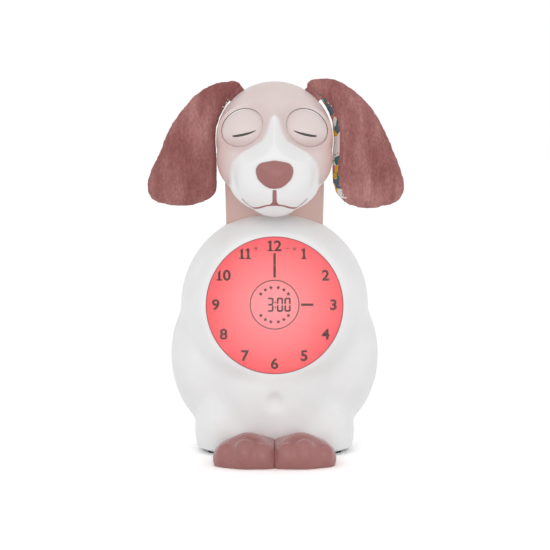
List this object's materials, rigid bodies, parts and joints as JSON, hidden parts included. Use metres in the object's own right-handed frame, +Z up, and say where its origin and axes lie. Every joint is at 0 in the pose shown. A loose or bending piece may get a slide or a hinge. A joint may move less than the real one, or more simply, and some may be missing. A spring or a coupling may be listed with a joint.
{
  "type": "children's alarm clock with night light",
  "caption": "Sitting dog shaped bedside alarm clock with a round lit dial in its belly, eyes that turn to open and shut, soft hanging ears and controls on the back.",
  "frame": {"origin": "on the ground, in the middle of the clock's width and depth", "axes": "+Z up, -Y the way the dog looks, +X the dog's left side"},
  "size_m": [0.148, 0.1244, 0.2119],
  "materials": {
    "shell_white": "fine satin moulded plastic",
    "inner_white": "plain moulded plastic",
    "blush_plastic": "soft satin moulded plastic",
    "neck_plastic": "soft satin moulded plastic",
    "rose_plastic": "satin moulded plastic",
    "key_plastic": "satin moulded plastic",
    "plush": "short pile plush with a printed cotton lining",
    "foot_rubber": "matte rubber",
    "dial_lens": "clear lens lit red from behind",
    "display_glass": "display glass",
    "diffuser": "milky diffuser",
    "white_board": "white solder mask",
    "green_board": "green solder mask",
    "lamp": "surface mounted lamps",
    "black_plastic": "moulded black plastic",
    "speaker_paper": "pressed paper cone",
    "steel": "zinc plated steel",
    "cell": "wrapped cells"
  },
  "bodies": {
    "clock": {"front_shell": "shell_white", "rear_shell": "shell_white", "base_cover": "shell_white", "rubber_feet": "foot_rubber", "left_paw": "rose_plastic", "right_paw": "rose_plastic", "paw_screws": "steel", "dial_lens": "dial_lens", "display_glass": "display_glass", "light_diffuser": "diffuser", "light_box": "inner_white", "night_light_board": "white_board", "night_light_lamps": "lamp", "main_board": "green_board", "board_parts": "black_plastic", "button_board": "green_board", "button_switches": "black_plastic", "speaker_frame": "black_plastic", "speaker_cone": "speaker_paper", "speaker_magnet": "steel", "power_inlet": "black_plastic", "battery_cells": "cell", "battery_contacts": "steel", "neck": "neck_plastic", "head_front": "blush_plastic", "head_rear": "blush_plastic", "nose": "rose_plastic", "eye_motor": "steel", "eye_bracket": "inner_white", "body_screws": "steel", "base_screws": "steel", "light_box_screws": "steel", "main_board_screws": "steel", "button_board_screws": "steel", "bracket_screws": "steel", "head_screws": "steel"},
    "eyes": {"left_eye": "blush_plastic", "right_eye": "blush_plastic", "eye_axle": "steel", "eye_gear": "inner_white"},
    "motor_drive": {"motor_pinion": "inner_white", "motor_shaft": "steel"},
    "left_ear_flap": {"left_ear": "plush", "left_ear_anchor": "inner_white"},
    "right_ear_flap": {"right_ear": "plush", "right_ear_anchor": "inner_white"},
    "alarm_key": {"alarm_button": "key_plastic"},
    "light_key": {"light_button": "key_plastic"},
    "clock_key": {"clock_button": "key_plastic"},
    "minus_key": {"minus_button": "key_plastic"},
    "plus_key": {"plus_button": "key_plastic"},
    "mode_knob": {"mode_switch": "key_plastic"},
    "battery_lid": {"battery_door": "shell_white", "battery_door_screw": "steel"}
  },
  "joints": [
    {"name": "eyes_turn", "type": "hinge", "parent": "clock", "child": "eyes", "pos_m": [0, -0.00325, 0.1802], "axis": [1, 0, 0], "range_deg": [0, 100]},
    {"name": "motor_turn", "type": "hinge", "parent": "clock", "child": "motor_drive", "pos_m": [0, 0.01743, 0.17268], "axis": [1, 0, 0], "range_deg": [-176, 1]},
    {"name": "left_ear_swing", "type": "hinge", "parent": "clock", "child": "left_ear_flap", "pos_m": [0.02083, 0.01375, 0.20232], "axis": [-1, 0, 0], "range_deg": [-30, 30], "stiffness_Nm_per_rad": 0.03},
    {"name": "right_ear_swing", "type": "hinge", "parent": "clock", "child": "right_ear_flap", "pos_m": [-0.02083, 0.01375, 0.20232], "axis": [-1, 0, 0], "range_deg": [-30, 30], "stiffness_Nm_per_rad": 0.03},
    {"name": "alarm_press", "type": "slide", "parent": "clock", "child": "alarm_key", "axis": [0, -1, 0], "range_m": [0, 0.0008], "stiffness_N_per_m": 600, "springref_m": -0.0005},
    {"name": "light_press", "type": "slide", "parent": "clock", "child": "light_key", "axis": [0, -1, 0], "range_m": [0, 0.0008], "stiffness_N_per_m": 600, "springref_m": -0.0005},
    {"name": "clock_press", "type": "slide", "parent": "clock", "child": "clock_key", "axis": [0, -1, 0], "range_m": [0, 0.0008], "stiffness_N_per_m": 600, "springref_m": -0.0005},
    {"name": "minus_press", "type": "slide", "parent": "clock", "child": "minus_key", "axis": [0, -1, 0], "range_m": [0, 0.0008], "stiffness_N_per_m": 600, "springref_m": -0.0005},
    {"name": "plus_press", "type": "slide", "parent": "clock", "child": "plus_key", "axis": [0, -1, 0], "range_m": [0, 0.0008], "stiffness_N_per_m": 600, "springref_m": -0.0005},
    {"name": "mode_slide", "type": "slide", "parent": "clock", "child": "mode_knob", "axis": [1, 0, 0], "range_m": [0, 0.005]},
    {"name": "battery_door_swing", "type": "hinge", "parent": "clock", "child": "battery_lid", "pos_m": [0, -0.002, 0.0012], "axis": [-1, 0, 0], "range_deg": [0, 80]}
  ],
  "couplings": [
    {"joint": "motor_turn", "follows": "eyes_turn", "ratio": -1.75}
  ]
}
